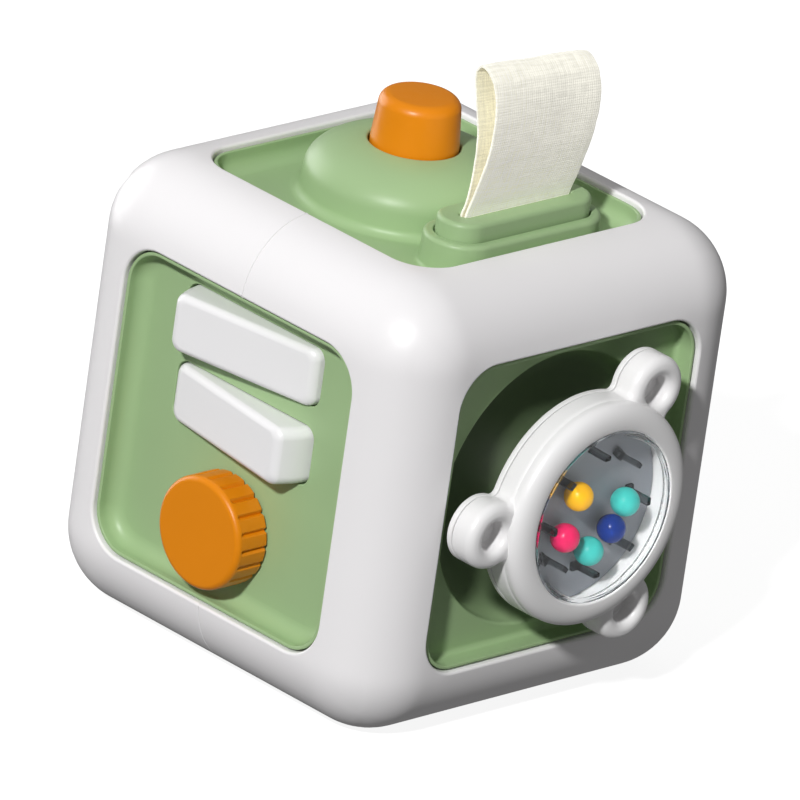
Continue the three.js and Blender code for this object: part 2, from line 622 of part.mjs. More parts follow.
function rightFace() {
  right.add(disc);
  const bowl = turned([
    [0, WELL_FLOOR - 2.4],
    [WELL_R - 6, WELL_FLOOR - 2.4],
    [WELL_R + 1.5, PANEL_BACK - 2],
    [WELL_R + 1.5, PANEL_BACK + 0.4],
    [0, PANEL_BACK + 0.4],
  ]);
  const dish = turned([
    [0, WELL_FLOOR],
    [WELL_R - 9, WELL_FLOOR],
    ...arc(WELL_R - 9, WELL_FLOOR + 7, 9, 7, -90, 0, 5).slice(1),
    [WELL_R, 60],
    [0, 60],
  ]);
  const hub = bar(8, WELL_FLOOR - 5.4, WELL_FLOOR - 1, 0, 0, 24);
  const panel = cut(join(panelBlank(), bowl), dish).add(hub.subtract(dish));
  right.add(piece("right_panel", cut(panel, bar(5, 30, 50, 0, 0, 18)), GREEN));
  const bush = cut(
    join(
      bar(4.7, WELL_FLOOR - 5.4, WELL_FLOOR + 0.5, 0, 0, 18),
      bar(7, WELL_FLOOR + GAP, WELL_FLOOR + 1.6, 0, 0, 20),
    ),
    bar(SPIN_AXLE_R + GAP, 30, 50, 0, 0, 20),
  );
  right.add(piece("spinner_bush", bush, NATURAL));
  const axle = cut(bar(SPIN_AXLE_R, 36.2, DISC_BACK - 0.5, 0, 0, 20), bar(1.4, 34, 42, 0, 0, 14));
  right.add(piece("spinner_axle", axle, STEEL));
  const washer = cut(bar(6, 35.3, 35.9, 0, 0, 18), bar(1.6, 34, 37, 0, 0, 14));
  right.add(piece("spinner_washer", washer, STEEL));
  const hubScrew = screw(0, 4.5, 1.1, 2.8, 1.8).mirror([0, 0, 1]).translate([0, 0, 35]);
  right.add(piece("spinner_screw", hubScrew, STEEL));
  discParts();
}

function discParts() {
  const ears = (r, w0, w1, sides = 20) =>
    EAR_ANGLES.map((a) => bar(r, w0, w1, EAR_AT * Math.cos(rad(a)), EAR_AT * Math.sin(rad(a)), sides));
  const screwAt = [0, 120, 240].map((a) => [25.1 * Math.cos(rad(a)), 25.1 * Math.sin(rad(a))]);
  const coverTop = DISC_BACK + 1.6;

  const hub = turned([[0, 44.3], [6.2, 44.3], [7, 50], [8.5, DISC_BACK + 0.2], [0, DISC_BACK + 0.2]], 32);
  const cover = cut(
    join(bar(DISC_R, DISC_BACK, coverTop, 0, 0, 40), ...ears(EAR_R, DISC_BACK, coverTop), hub),
    bar(SPIN_AXLE_R + GAP, 40, DISC_BACK - 0.2, 0, 0, 20),
    ...screwAt.map(([u, v]) => bar(1.25, 50, 60, u, v, 12)),
  );
  disc.add(piece("spinner_rear_cover", cover, WHITE));

  const bodyBack = coverTop + GAP;
  const bodyTop = DISC_SPLIT - 0.15;
  const overDisc = bar(DISC_R, bodyTop, 70, 0, 0, 40);
  const earStock = join(...ears(EAR_R, bodyBack, EAR_TOP).map((ear) => ear.subtract(overDisc)));
  const neckWidth = 5;
  const necks = EAR_ANGLES.map((a) =>
    block(DISC_R - 2, EAR_AT, -neckWidth, neckWidth, bodyBack, bodyTop).rotate([0, 0, a]),
  );
  const body = cut(
    join(bar(DISC_R, bodyBack, bodyTop, 0, 0, 40), earStock, ...necks),
    bar(23.2, 50, 70, 0, 0, 40),
    ...ears(3.5, EAR_TOP - 4.6, EAR_TOP + 1, 24),
    ...screwAt.map(([u, v]) => bar(1.25, 50, 70, u, v, 12)),
  );
  disc.add(piece("spinner_body", body, WHITE));

  const tray = cut(bar(22.9, bodyBack, bodyBack + 1, 0, 0, 40), bar(1, 50, 70, 0, 0, 12));
  disc.add(piece("spinner_tray", tray, WHITE));

  const ringBack = DISC_SPLIT + 0.15;
  const lip = 1.1;
  const ring = turned([
    [22.9, ringBack],
    [DISC_R - 0.2, ringBack],
    ...arc(22.2, 64, DISC_R - 22.4, DISC_FRONT - 64, 0, 90, 6),
    [DISC_WINDOW_R + 0.4, DISC_FRONT],
    [DISC_WINDOW_R, DISC_FRONT - 0.4],
    [DISC_WINDOW_R, DISC_FRONT - lip],
    [22.9, DISC_FRONT - lip],
    [22.9, ringBack],
  ], 40);
  const ringPilots = screwAt.map(([u, v]) => bar(1.25, 50, 65.2, u, v, 12));
  disc.add(piece("spinner_front_ring", cut(ring, ...ringPilots), WHITE));

  // clear window with a step behind the ring's lip and a ring of flat posts that pens the beads
  const windowShell = turned([
    [0, 67.1],
    [19.2, 66.9],
    [19.2, 65.4],
    [22.6, 65.4],
    [22.6, DISC_FRONT - lip - GAP],
    [DISC_WINDOW_R - GAP, DISC_FRONT - lip - GAP],
    [DISC_WINDOW_R - GAP, DISC_FRONT - 0.3],
    [14, DISC_FRONT + 0.35],
    [7, WINDOW_CROWN - 0.05],
    [0, WINDOW_CROWN],
  ]);
  const posts = Array.from({ length: 8 }, (_, i) =>
    block(14.1, 14.9, -0.7, 0.7, 60.2, 67.4).rotate([0, 0, 3.7 + 45 * i]),
  );
  disc.add(piece("spinner_window", join(windowShell, ...posts), CLEAR));

  for (const [name, { angle, at, color }] of Object.entries(BEADS)) {
    const g = new THREE.SphereGeometry(BEAD_R, 12, 8);
    const bead = piece(name, solid(g), finish(color, 0.25));
    bead.position.set(at * Math.cos(rad(angle)), at * Math.sin(rad(angle)), BEAD_W);
    disc.add(bead);
  }

  screwAt.forEach(([u, v], i) => {
    const s = screw(0, 8, 0.95, 1.7, 1).mirror([0, 0, 1]).translate([u, v, DISC_BACK - GAP]);
    disc.add(piece("spinner_cover_screw_" + (i + 1), s, STEEL));
  });
}

// ---- assembly -----------------------------------------------------------------------------
frameHalves();
frameScrews();
frontFace();
topFace();
rightFace();
back.add(piece("back_panel", panelBlank(), GREEN));
left.add(piece("left_panel", panelBlank(), GREEN));
bottom.add(piece("bottom_panel", panelBlank(), GREEN));

const root = new THREE.Group();
root.add(cube);
export default root;
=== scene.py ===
"""Looks of the baby activity cube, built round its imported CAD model. Lengths in the shape code
are millimetres from the cube's centre, in a face's own (u, v, w): right, up and outward."""

import math

import bmesh
import bpy
from mathutils import Matrix, Vector, geometry, noise


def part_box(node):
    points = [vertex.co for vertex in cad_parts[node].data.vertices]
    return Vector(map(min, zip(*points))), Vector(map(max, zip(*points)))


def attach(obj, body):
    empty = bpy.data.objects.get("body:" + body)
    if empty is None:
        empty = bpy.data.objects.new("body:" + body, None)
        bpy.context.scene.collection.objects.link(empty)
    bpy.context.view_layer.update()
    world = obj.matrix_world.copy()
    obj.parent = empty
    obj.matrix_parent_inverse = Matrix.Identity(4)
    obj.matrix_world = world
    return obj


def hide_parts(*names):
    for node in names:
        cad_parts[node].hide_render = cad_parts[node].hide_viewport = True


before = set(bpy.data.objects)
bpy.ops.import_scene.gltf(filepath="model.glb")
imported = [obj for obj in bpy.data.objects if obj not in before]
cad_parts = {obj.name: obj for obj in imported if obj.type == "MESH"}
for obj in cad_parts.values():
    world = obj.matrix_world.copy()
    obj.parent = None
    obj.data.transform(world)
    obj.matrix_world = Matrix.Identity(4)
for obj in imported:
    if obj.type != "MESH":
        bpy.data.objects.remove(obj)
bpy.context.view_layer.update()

MM = 0.001
X, Y, Z = Vector((1, 0, 0)), Vector((0, 1, 0)), Vector((0, 0, 1))
CENTRE = (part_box("frame_left_half")[0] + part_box("frame_right_half")[1]) / 2
FACES = {
    "front": (X, Z, -Y),
    "back": (-X, Z, Y),
    "left": (-Y, Z, -X),
    "right": (Y, Z, X),
    "top": (X, Y, Z),
    "bottom": (X, -Y, -Z),
}

# ---- sizes, the CAD's to within a few tenths ------------------------------------------------
HALF, EDGE = 55.0, 18.4
OPEN_HALF, OPEN_R = 37.5, 10.0
FLOOR, BACK = 49.0, 46.8
FLANGE_HALF, FLANGE_TOP = 39.2, 50.8
RIM_HALF, RIM_TOP, RIM_WIDE = 37.1, 54.0, 0.9
POST_AT, SCREW_HOLE_R = 44.3, 3.0

KEY_WINDOW_HALF, KEY_WINDOW_V, KEY_WINDOW_R = 22.4, 7.2, 3.2
KEY_V = {"upper_key": 24.9, "lower_key": 5.9}
KEY_TILT = {"upper_key": -8.5, "lower_key": 8.5}
KEY_PIVOT, KEY_END_R, KEY_FACE, KEY_BACK = 45.0, 21.9, 8.8, 2.6
KEY_HALF_V = 6.95

KNOB_V, KNOB_R, KNOB_BASE, KNOB_TOP, KNOB_GROOVES = -19.4, 13.2, 49.4, 58.6, 20

DOME_U, DOME_R, DOME_TOP, BUTTON_HOLE_R = -6.1, 24.5, 63.3, 10.6
DOME_SHOULDER, DOME_TOP_R = 54.4, 8.2
BUTTON_R, BUTTON_TOP = 10.2, 74.6
BEZEL_U = 27.1
LOW_HALF_U, LOW_HALF_V, LOW_TOP = 9.0, 24.5, 56.8
HIGH_HALF_U, HIGH_HALF_V, HIGH_TOP = 6.3, 21.85, 61.0
SLOT_HALF_U, SLOT_HALF_V = 1.5, 17.0

WELL_R, WELL_FLOOR = 32.7, 42.0
DISC_R, DISC_BACK, DISC_FRONT, WINDOW_R = 27.0, 57.0, 68.0, 20.85
COVER_SCREWS_AT, COVER_SCREW_ANGLES = 25.1, (0, 120, 240)
WINDOW_POSTS, FIRST_POST_ANGLE = 8, 3.7
EAR_AT, EAR_R, EAR_TOP, EAR_HOLE_R, EAR_NECK_R = 30.8, 8.0, 65.0, 3.5, 1.5
EAR_ANGLES = (60, 180, 300)
BEAD_R = 3.35


# ---- paths and outlines ---------------------------------------------------------------------
def rounded(corners, steps=6):
    """The path through corners (a, b, radius), each inner corner rounded to its radius."""
    out = []
    for i, (a, b, r) in enumerate(corners):
        p = Vector((a, b))
        if r <= 0 or i in (0, len(corners) - 1):
            out.append((a, b))
            continue
        back = (Vector(corners[i - 1][:2]) - p).normalized()
        on = (Vector(corners[i + 1][:2]) - p).normalized()
        half = back.angle(on) / 2
        centre = p + (back + on).normalized() * (r / math.sin(half))
        s = p + back * (r / math.tan(half)) - centre
        e = p + on * (r / math.tan(half)) - centre
        turn = s.angle(e)
        for k in range(steps + 1):
            t = k / steps
            q = (s * math.sin((1 - t) * turn) + e * math.sin(t * turn)) / math.sin(turn)
            out.append(tuple(centre + q))
    return out


def rect(half_u, half_v, r, u=0.0, v=0.0, n=8):
    """An outline function: the rounded rectangle drawn in by d, as n + 1 points per corner."""

    def outline(d):
        rr = max(r - d, 0.02)
        cu, cv = half_u - d - rr, half_v - d - rr
        return [
            (
                u + su * cu + rr * math.cos(math.radians(a0 + 90 * k / n)),
                v + sv * cv + rr * math.sin(math.radians(a0 + 90 * k / n)),
            )
            for su, sv, a0 in ((1, 1, 0), (-1, 1, 90), (-1, -1, 180), (1, -1, 270))
            for k in range(n + 1)
        ]

    return outline


def circle(r, u=0.0, v=0.0, n=64):
    def outline(d):
        return [
            (u + (r - d) * math.cos(2 * math.pi * k / n), v + (r - d) * math.sin(2 * math.pi * k / n))
            for k in range(n)
        ]

    return outline


def lobed(n_disc=26, n_neck=5, n_ear=26):
    """The disc's outline with its three ears, each joined by small hollow roundings."""
    far, reach = DISC_R + EAR_NECK_R, EAR_R + EAR_NECK_R
    neck = math.acos((far**2 + EAR_AT**2 - reach**2) / (2 * far * EAR_AT))

    def arc(cx, cy, r, a0, a1, n):
        return [
            (cx + r * math.cos(a0 + (a1 - a0) * k / n), cy + r * math.sin(a0 + (a1 - a0) * k / n))
            for k in range(n + 1)
        ]

    def outline(d):
        points = []
        for i, a in enumerate(EAR_ANGLES):
            ear = math.radians(a)
            ex, ey = EAR_AT * math.cos(ear), EAR_AT * math.sin(ear)
            sides = []
            for s in (-1, 1):
                fx, fy = far * math.cos(ear + s * neck), far * math.sin(ear + s * neck)
                to_ear = math.atan2(ey - fy, ex - fx)
                to_disc = math.atan2(-fy, -fx)
                turn = (to_ear - to_disc + math.pi) % (2 * math.pi) - math.pi
                sides.append((fx, fy, to_disc, turn, math.atan2(fy - ey, fx - ex)))
            fx, fy, a0, turn, e0 = sides[0]
            points += arc(fx, fy, EAR_NECK_R + d, a0, a0 + turn, n_neck)
            e1 = sides[1][4]
            while e1 < e0:
                e1 += 2 * math.pi
            points += arc(ex, ey, EAR_R - d, e0, e1, n_ear)[1:-1]
            fx, fy, a0, turn, _ = sides[1]
            points += arc(fx, fy, EAR_NECK_R + d, a0 + turn, a0, n_neck)
            after = math.radians(EAR_ANGLES[(i + 1) % 3] + (360 if i == 2 else 0))
            points += arc(0, 0, DISC_R - d, ear + neck, after - neck, n_disc)[1:-1]
        return points

    return outline


# ---- meshes -------------------------------------------------------------------------------
class Form:
    """Points in a face's millimetres and the faces between them."""

    def __init__(self):
        self.points, self.faces, self.uvs = [], [], None

    def ring(self, outline_points, w):
        start = len(self.points)
        self.points += [(u, v, w) for u, v in outline_points]
        return list(range(start, len(self.points)))

    def bridge(self, a, b):
        n = len(a)
        for i in range(n):
            j = (i + 1) % n
            self.faces.append((a[i], a[j], b[j], b[i]))

    def loft(self, outline, path):
        """Rings of an outline along a path of (inset, w); the first and last ring's indices."""
        rings = [self.ring(outline(d), w) for d, w in path]
        for a, b in zip(rings, rings[1:]):
            self.bridge(a, b)
        return rings[0], rings[-1]

    def fill(self, outer, holes=(), up=True):
        """A flat face inside outer and outside holes."""
        loops = [outer, *holes]
        order = [i for ring in loops for i in ring]
        flat = [[Vector((*self.points[i][:2], 0)) for i in ring] for ring in loops]
        for tri in geometry.tessellate_polygon(flat):
            a, b, c = (self.points[order[k]] for k in tri)
            area = (b[0] - a[0]) * (c[1] - a[1]) - (b[1] - a[1]) * (c[0] - a[0])
            ids = [order[k] for k in tri]
            self.faces.append(tuple(ids if (area > 0) == up else reversed(ids)))

    def turn(self, path, n=96, u=0.0, v=0.0):
        """A surface of revolution about w, from a path of (radius, w); a radius of 0 closes it."""
        rings = []
        for r, w in path:
            if r < 1e-6:
                self.points.append((u, v, w))
                rings.append([len(self.points) - 1])
            else:
                rings.append(self.ring(circle(r, u, v, n)(0), w))
        for a, b in zip(rings, rings[1:]):
            if len(a) == 1 and len(b) > 1:
                self.faces += [(a[0], b[(i + 1) % n], b[i]) for i in range(n)]
            elif len(b) == 1 and len(a) > 1:
                self.faces += [(a[i], a[(i + 1) % n], b[0]) for i in range(n)]
            elif len(a) > 1:
                self.bridge(a, b)
        return rings


def build(name, form, face, material, body, replaces=(), sharp=38, tidy=True):
    """Makes the object of a form on a face, welds it and sets its shading."""
    right, up, out = FACES[face]
    mesh = bpy.data.meshes.new(name)
    mesh.from_pydata(
        [CENTRE + MM * (right * u + up * v + out * w) for u, v, w in form.points], [], form.faces
    )
    if form.uvs:
        layer = mesh.uv_layers.new(name="weave")
        for loop in mesh.loops:
            layer.data[loop.index].uv = form.uvs[loop.vertex_index]
    bm = bmesh.new()
    bm.from_mesh(mesh)
    if tidy:
        bmesh.ops.remove_doubles(bm, verts=bm.verts, dist=0.004 * MM)
        bmesh.ops.dissolve_degenerate(bm, edges=bm.edges, dist=0.002 * MM)
    bmesh.ops.recalc_face_normals(bm, faces=bm.faces)
    bm.to_mesh(mesh)
    bm.free()
    return finish_piece(name, mesh, material, body, replaces, sharp)


def finish_piece(name, mesh, material, body, replaces=(), sharp=38):
    mesh.polygons.foreach_set("use_smooth", [True] * len(mesh.polygons))
    mesh.set_sharp_from_angle(angle=math.radians(sharp))
    mesh.materials.clear()
    mesh.materials.append(material)
    obj = bpy.data.objects.new(name, mesh)
    bpy.context.scene.collection.objects.link(obj)
    normals = obj.modifiers.new("normals", "WEIGHTED_NORMAL")
    normals.keep_sharp = True
    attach(obj, body)
    if replaces:
        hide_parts(*replaces)
    return obj


# ---- materials ------------------------------------------------------------------------------
class Nodes:
    """A material with short calls for its nodes."""

    def __init__(self, name):
        self.material = bpy.data.materials.new(name)
        self.material.use_nodes = True
        self.tree = self.material.node_tree
        self.shader = self.tree.nodes["Principled BSDF"]
        self.coords = self.add("ShaderNodeTexCoord").outputs["Object"]

    def add(self, kind, **values):
        node = self.tree.nodes.new(kind)
        for key, value in values.items():
            setattr(node, key, value)
        return node

    def link(self, a, b):
        self.tree.links.new(a, b)

    def noise(self, scale, detail=2.0, rough=0.5, vector=None):
        node = self.add("ShaderNodeTexNoise")
        node.inputs["Scale"].default_value = scale
        node.inputs["Detail"].default_value = detail
        node.inputs["Roughness"].default_value = rough
        self.link(vector or self.coords, node.inputs["Vector"])
        return node.outputs["Fac"]

    def spread(self, value, low, high, into):
        """Maps a 0 to 1 value to low..high and feeds it to a socket."""
        node = self.add("ShaderNodeMapRange")
        node.inputs["From Min"].default_value = 0.25
        node.inputs["From Max"].default_value = 0.75
        node.inputs["To Min"].default_value = low
        node.inputs["To Max"].default_value = high
        self.link(value, node.inputs["Value"])
        self.link(node.outputs["Result"], into)

    def mix(self, fac, a, b, into=None):
        node = self.add("ShaderNodeMix", data_type="RGBA")
        self.link(fac, node.inputs["Factor"])
        colours = [s for s in node.inputs if s.type == "RGBA"]
        for socket, colour in zip(colours, (a, b)):
            if isinstance(colour, tuple):
                socket.default_value = (*colour, 1)
            else:
                self.link(colour, socket)
        out = next(s for s in node.outputs if s.type == "RGBA")
        if into is not None:
            self.link(out, into)
        return out

    def bump(self, height, distance, strength=1.0, after=None):
        node = self.add("ShaderNodeBump")
        node.inputs["Distance"].default_value = distance
        node.inputs["Strength"].default_value = strength
        self.link(height, node.inputs["Height"])
        if after is not None:
            self.link(after, node.inputs["Normal"])
        return node.outputs["Normal"]

    def set(self, **values):
        for key, value in values.items():
            self.shader.inputs[key.replace("_", " ")].default_value = value


def srgb(r, g, b):
    """Linear colour of an 8-bit sRGB one."""
    return tuple(
        c / 12.92 if c <= 0.04045 else ((c + 0.055) / 1.055) ** 2.4 for c in (r / 255, g / 255, b / 255)
    )


def tint(colour, k):
    return tuple(min(c * k, 1.0) for c in colour)


def plastic(name, colour, rough=0.36, grain=0.012, drift=0.03, gloss=0.5, deep=False):
    """Moulded plastic: slow colour drift, uneven gloss, spark-eroded grain and faint sink; deep paints
    shade into the colour, darker towards the well's bottom.
    """
    m = Nodes(name)
    shade = m.mix(m.noise(55, 3), tint(colour, 1 - drift), tint(colour, 1 + drift))
    if deep:  # painted shade: darker towards the bottom of the right panel's well
        split = m.add("ShaderNodeSeparateXYZ")
        m.link(m.coords, split.inputs["Vector"])
        depth = m.add("ShaderNodeMapRange", interpolation_type="SMOOTHSTEP")
        depth.inputs["From Min"].default_value = CENTRE.x + (WELL_FLOOR - 1) * MM
        depth.inputs["From Max"].default_value = CENTRE.x + (FLOOR - 0.5) * MM
        m.link(split.outputs["X"], depth.inputs["Value"])
        shade = m.mix(depth.outputs["Result"], tint(colour, 0.34), shade)
    m.link(shade, m.shader.inputs["Base Color"])
    m.spread(m.noise(420, 4, 0.6), rough - 0.045, rough + 0.045, m.shader.inputs["Roughness"])
    sink = m.bump(m.noise(38, 1), 0.00012, 0.35)
    m.link(m.bump(m.noise(3300, 3, 0.65), grain * MM, 1.0, sink), m.shader.inputs["Normal"])
    m.set(IOR=1.49, Specular_IOR_Level=gloss)
    return m.material


def steel(name, colour=(0.56, 0.57, 0.6), rough=0.3):
    m = Nodes(name)
    m.mix(m.noise(300, 3), tint(colour, 0.92), tint(colour, 1.06), m.shader.inputs["Base Color"])
    m.spread(m.noise(900, 4), rough - 0.08, rough + 0.08, m.shader.inputs["Roughness"])
    m.link(m.bump(m.noise(2600, 2), 0.006 * MM, 0.8), m.shader.inputs["Normal"])
    m.set(Metallic=1.0)
    return m.material


def woven(name, colour, painted_glow, pitch=0.62):
    """Linen-look ribbon: over-and-under threads, slubs, uneven dye, and a painted glow standing in for
    light coming through.
    """
    m = Nodes(name)
    uv = m.add("ShaderNodeUVMap", uv_map="weave").outputs["UV"]
    split = m.add("ShaderNodeSeparateXYZ")
    m.link(uv, split.inputs["Vector"])

    def calc(operation, a, b=None):
        node = m.add("ShaderNodeMath", operation=operation)
        for socket, value in zip(node.inputs, (a, b)):
            if value is None:
                continue
            if isinstance(value, (int, float)):
                socket.default_value = value
            else:
                m.link(value, socket)
        return node.outputs[0]

    def streak(across, along, detail):
        stretch = m.add("ShaderNodeMapping")
        stretch.inputs["Scale"].default_value = (across, along, 1)
        m.link(uv, stretch.inputs["Vector"])
        return m.noise(1.0, detail, 0.6, stretch.outputs["Vector"])

    warp = calc("ABSOLUTE", calc("SINE", calc("MULTIPLY", split.outputs["X"], math.pi / pitch)))
    weft = calc("ABSOLUTE", calc("SINE", calc("MULTIPLY", split.outputs["Y"], math.pi / pitch)))
    threads = calc("MULTIPLY", calc("ADD", warp, weft), 0.5)
    # slubs: long thin streaks, one set along each thread direction
    slub = calc("MULTIPLY", calc("ADD", streak(1.5, 0.14, 3), streak(0.14, 1.5, 3)), 0.5)

    fleck = m.add("ShaderNodeMapRange")
    fleck.inputs["From Min"].default_value, fleck.inputs["From Max"].default_value = 0.41, 0.57
    m.link(slub, fleck.inputs["Value"])
    shade = m.mix(fleck.outputs["Result"], tint(colour, 0.8), tint(colour, 1.05))
    # painted shade: the base colour is darker in the gaps between threads, where the weave's bump is low
    gap_shade = m.add("ShaderNodeMapRange")
    gap_shade.inputs["From Min"].default_value, gap_shade.inputs["From Max"].default_value = -0.3, 0.8
    m.link(threads, gap_shade.inputs["Value"])
    m.mix(gap_shade.outputs["Result"], tint(colour, 0.92), shade, m.shader.inputs["Base Color"])
    height = calc("ADD", threads, calc("MULTIPLY", slub, 1.2))
    m.link(m.bump(height, 0.09 * MM, 0.8), m.shader.inputs["Normal"])
    m.set(Roughness=0.85, Sheen_Weight=0.3, Sheen_Roughness=0.5, Specular_IOR_Level=0.2)
    # painted light: the cloth glows, standing in for light coming through it
    m.set(Emission_Color=(1.0, 0.975, 0.9, 1), Emission_Strength=painted_glow)
    return m.material


def clear(name, colour=(0.985, 0.99, 0.99), rough=0.0):
    """Clear moulded plastic: faint flow waves and a little haze."""
    m = Nodes(name)
    m.mix(m.noise(120, 2), tint(colour, 0.985), colour, m.shader.inputs["Base Color"])
    m.spread(m.noise(300, 3), rough, rough + 0.02, m.shader.inputs["Roughness"])
    m.link(m.bump(m.noise(90, 2), 0.05 * MM, 0.2), m.shader.inputs["Normal"])
    m.set(Transmission_Weight=1.0, IOR=1.22, Specular_IOR_Level=0.4)
    # shadow rays pass straight through, so that what lies behind is lit
    passes = m.add("ShaderNodeBsdfTransparent")
    passes.inputs["Color"].default_value = (0.93, 0.94, 0.94, 1)
    shared = m.add("ShaderNodeMixShader")
    m.link(m.add("ShaderNodeLightPath").outputs["Is Shadow Ray"], shared.inputs["Fac"])
    m.link(m.shader.outputs["BSDF"], shared.inputs[1])
    m.link(passes.outputs["BSDF"], shared.inputs[2])
    m.link(shared.outputs["Shader"], m.tree.nodes["Material Output"].inputs["Surface"])
    return m.material


WHITE = plastic("white_plastic", srgb(240, 238, 239), 0.38, 0.010, 0.012)
DISC_WHITE = plastic("disc_white_plastic", srgb(240, 239, 239), 0.33, 0.008, 0.012)
KEY_WHITE = plastic("key_white_plastic", srgb(241, 240, 241), 0.36, 0.008, 0.012)
GREEN = plastic("green_plastic", srgb(159, 187, 139), 0.4, 0.012, 0.03, 0.38)
# the well's green carries painted shade, darker towards the well's bottom
WELL_GREEN_PAINTED_SHADE = plastic("well_green_painted_shade", srgb(159, 187, 139), 0.45, 0.012, 0.03, 0.3, deep=True)
ORANGE = plastic("orange_plastic", srgb(226, 134, 8), 0.36, 0.012, 0.03, 0.35)
GREY = plastic("grey_tray_plastic", srgb(128, 132, 138), 0.5, 0.015, 0.04)
NATURAL = plastic("natural_acetal", srgb(214, 214, 205), 0.45, 0.015, 0.03)
RUBBER = plastic("grey_rubber", srgb(80, 81, 84), 0.75, 0.03, 0.08)
STEEL = steel("bright_steel")
# the ribbon glows as painted light; the inside copy is darker and glows less, as painted shade inside the
# loop
RIBBON = woven("cream_linen", srgb(249, 246, 231), 0.25)
RIBBON_INSIDE_SHADED = woven("cream_linen_inside_shaded", srgb(240, 235, 208), 0.12)
CLEAR = clear("clear_plastic")
SMOKED = clear("smoked_plastic", (0.3, 0.31, 0.32), 0.02)
BEADS = {
    "bead_yellow": plastic("yellow_plastic", srgb(233, 172, 12), 0.24, 0.004, 0.03, 0.18),
    "bead_pink": plastic("pink_plastic", srgb(214, 22, 88), 0.24, 0.004, 0.03, 0.18),
    "bead_teal_1": plastic("teal_plastic", srgb(58, 178, 170), 0.24, 0.004, 0.03, 0.18),
    "bead_blue": plastic("blue_plastic", srgb(0, 40, 118), 0.22, 0.004, 0.05, 0.18),
}
BEADS["bead_teal_2"] = BEADS["bead_teal_1"]


# ---- frame ----------------------------------------------------------------------------------
def on_cube(u, v, w):
    """The rounded cube's surface point and normal for a point on the plain cube."""
    p = Vector((u, v, w))
    core = Vector([max(-HALF + EDGE, min(HALF - EDGE, c)) for c in p])
    n = (p - core).normalized()
    return core + n * EDGE, n


def frame_face(form):
    """One sixth of the frame: from its rounded opening out to the middle of the cube's edges."""
    inner = HALF - EDGE
    lip = 0.7
    bend = [i / 8 * math.pi / 4 for i in range(9)]
    # stations along a quarter side, from its middle to the cube's corner
    straight = [0, 9, 18, OPEN_HALF - OPEN_R]
    edge_s = [*straight, 32] + [inner + EDGE * math.tan(a) for a in bend]
    # the opening has the same stations: the straight ones, and the rest on its corner's arc
    turns = len(edge_s) - len(straight)
    angles = [45 * (i + 1) / turns for i in range(turns)]

    def quarter(out):
        """Opening points for one eighth of the outline, expanded by out."""
        c = OPEN_HALF - OPEN_R
        r = OPEN_R + out
        pts = [(c + r, s) for s in straight]
        pts += [(c + r * math.cos(math.radians(a)), c + r * math.sin(math.radians(a))) for a in angles]
        return pts

    def whole(eighth):
        """The closed outline made of eight mirrored eighths."""
        points = []
        for k in range(4):
            c, s = round(math.cos(k * math.pi / 2)), round(math.sin(k * math.pi / 2))
            part = [(a, b) for a, b in eighth] + [(b, a) for a, b in reversed(eighth[:-1])][:-1]
            points += [(a * c - b * s, a * s + b * c) for a, b in part]
        return points

    boundary = whole([(HALF, s) for s in edge_s])
    hole = whole(quarter(lip))
    rings = []
    for w in (FLANGE_TOP + 0.25, 52.5):
        rings.append(form.ring(whole(quarter(0)), w))
    for k in range(6):
        a = k / 5 * math.pi / 2
        rings.append(form.ring(whole(quarter(lip * (1 - math.cos(a)))), HALF - lip * (1 - math.sin(a))))
    start = math.atan((OPEN_HALF + lip - inner) / EDGE)
    for k in range(1, 11):
        a = start + (math.pi / 4 - start) * k / 10
        f = (inner + EDGE * math.tan(a) - OPEN_HALF - lip) / (HALF - OPEN_HALF - lip)
        first = len(form.points)
        for (hu, hv), (bu, bv) in zip(hole, boundary):
            p, _ = on_cube(hu + (bu - hu) * f, hv + (bv - hv) * f, HALF)
            form.points.append(tuple(p))
        rings.append(list(range(first, len(form.points))))
    for a, b in zip(rings, rings[1:]):
        form.bridge(a, b)


def make_frame():
    one = Form()
    frame_face(one)
    bm = bmesh.new()
    for right, up, out in FACES.values():
        made = [bm.verts.new(CENTRE + MM * (right * u + up * v + out * w)) for u, v, w in one.points]
        for f in one.faces:
            bm.faces.new([made[i] for i in f])
    bmesh.ops.remove_doubles(bm, verts=bm.verts, dist=0.003 * MM)
    bmesh.ops.recalc_face_normals(bm, faces=bm.faces)
    whole = bpy.data.meshes.new("frame_skin")
    bm.to_mesh(whole)
    bm.free()

    cutter = Form()
    for v in (-POST_AT, POST_AT):
        for u in (-POST_AT, POST_AT):
            cutter.turn([(0, 20), (SCREW_HOLE_R, 20), (SCREW_HOLE_R, 70), (0, 70)], 40, u, v)
    for name, side in (("frame_left", -1), ("frame_right", 1)):
        bm = bmesh.new()
        bm.from_mesh(whole)
        bmesh.ops.bisect_plane(
            bm,
            geom=bm.verts[:] + bm.edges[:] + bm.faces[:],
            plane_co=CENTRE + X * (side * 0.05 * MM),
            plane_no=-X * side,
            clear_outer=True,
        )
        bmesh.ops.recalc_face_normals(bm, faces=bm.faces)
        mesh = bpy.data.meshes.new(name)
        bm.to_mesh(mesh)
        bm.free()
        replaced = "frame_left_half" if side < 0 else "frame_right_half"
        obj = finish_piece(name, mesh, WHITE, "cube", [replaced], 50)
        thicken(obj, cutter if side < 0 else None)


